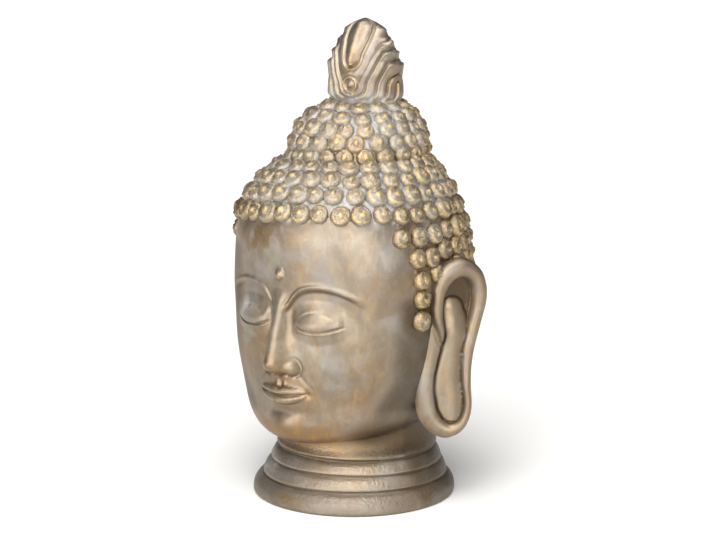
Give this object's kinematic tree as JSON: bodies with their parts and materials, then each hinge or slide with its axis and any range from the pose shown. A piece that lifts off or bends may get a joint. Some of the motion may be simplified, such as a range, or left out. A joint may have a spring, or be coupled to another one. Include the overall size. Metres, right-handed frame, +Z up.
{
  "type": "buddha head statue",
  "caption": "Buddha head statue with curled hair, a cranial bump under a flame finial, long ears and a ringed neck that flares to a flat round foot.",
  "frame": {"origin": "middle of the foot's flat underside", "axes": "+Z up through the finial, the face looks along -Y, +X towards the head's own left ear"},
  "size_m": [0.4148, 0.3823, 0.699],
  "materials": {
    "bronze_paint": "satin weathered bronze paint with worn gold on the raised parts, over cast fibre-clay"
  },
  "bodies": {
    "root": {"buddha_head": "bronze_paint"}
  },
  "joints": []
}
